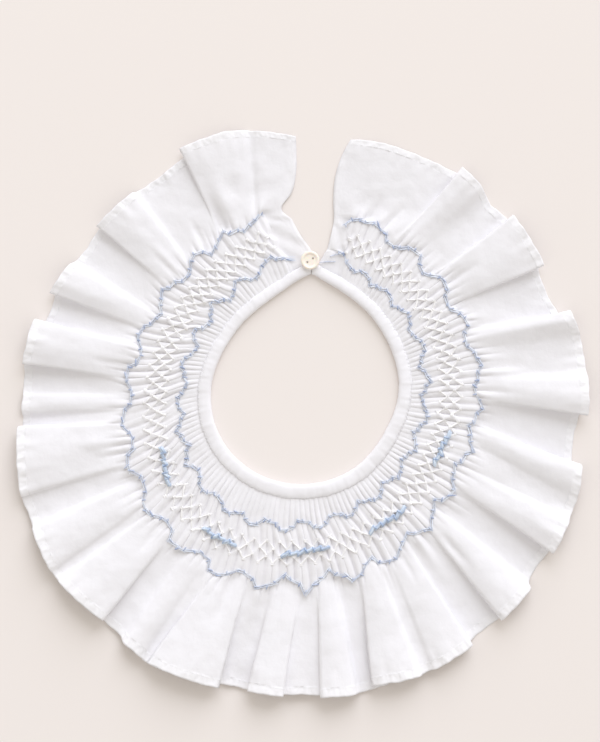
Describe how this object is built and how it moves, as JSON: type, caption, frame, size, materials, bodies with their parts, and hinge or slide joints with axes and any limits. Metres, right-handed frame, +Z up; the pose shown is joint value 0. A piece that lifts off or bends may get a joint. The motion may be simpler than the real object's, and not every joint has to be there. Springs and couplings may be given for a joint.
{
  "type": "smocked ruffle collar",
  "caption": "Round detachable collar of white cotton with a bound neck, a smocked yoke in pleats and a wide folded frill, laid flat with its back button closed.",
  "frame": {"origin": "middle of the collar's bounding box, on the surface that it lies on", "axes": "+Z up off that surface, +Y towards the buttoned back opening, +X towards the right end of the collar as seen from above"},
  "size_m": [0.3023, 0.2996, 0.01],
  "materials": {
    "batiste": "sheer white cotton batiste, plain weave, soft",
    "binding": "white cotton cut on the bias, folded double, pressed smooth",
    "button": "cream, satin",
    "blue_thread": "stranded cotton, pale blue",
    "white_thread": "stranded cotton, off-white"
  },
  "bodies": {
    "root": {"smocked_strip": "batiste", "neck_binding": "binding", "button": "button"}
  },
  "joints": []
}
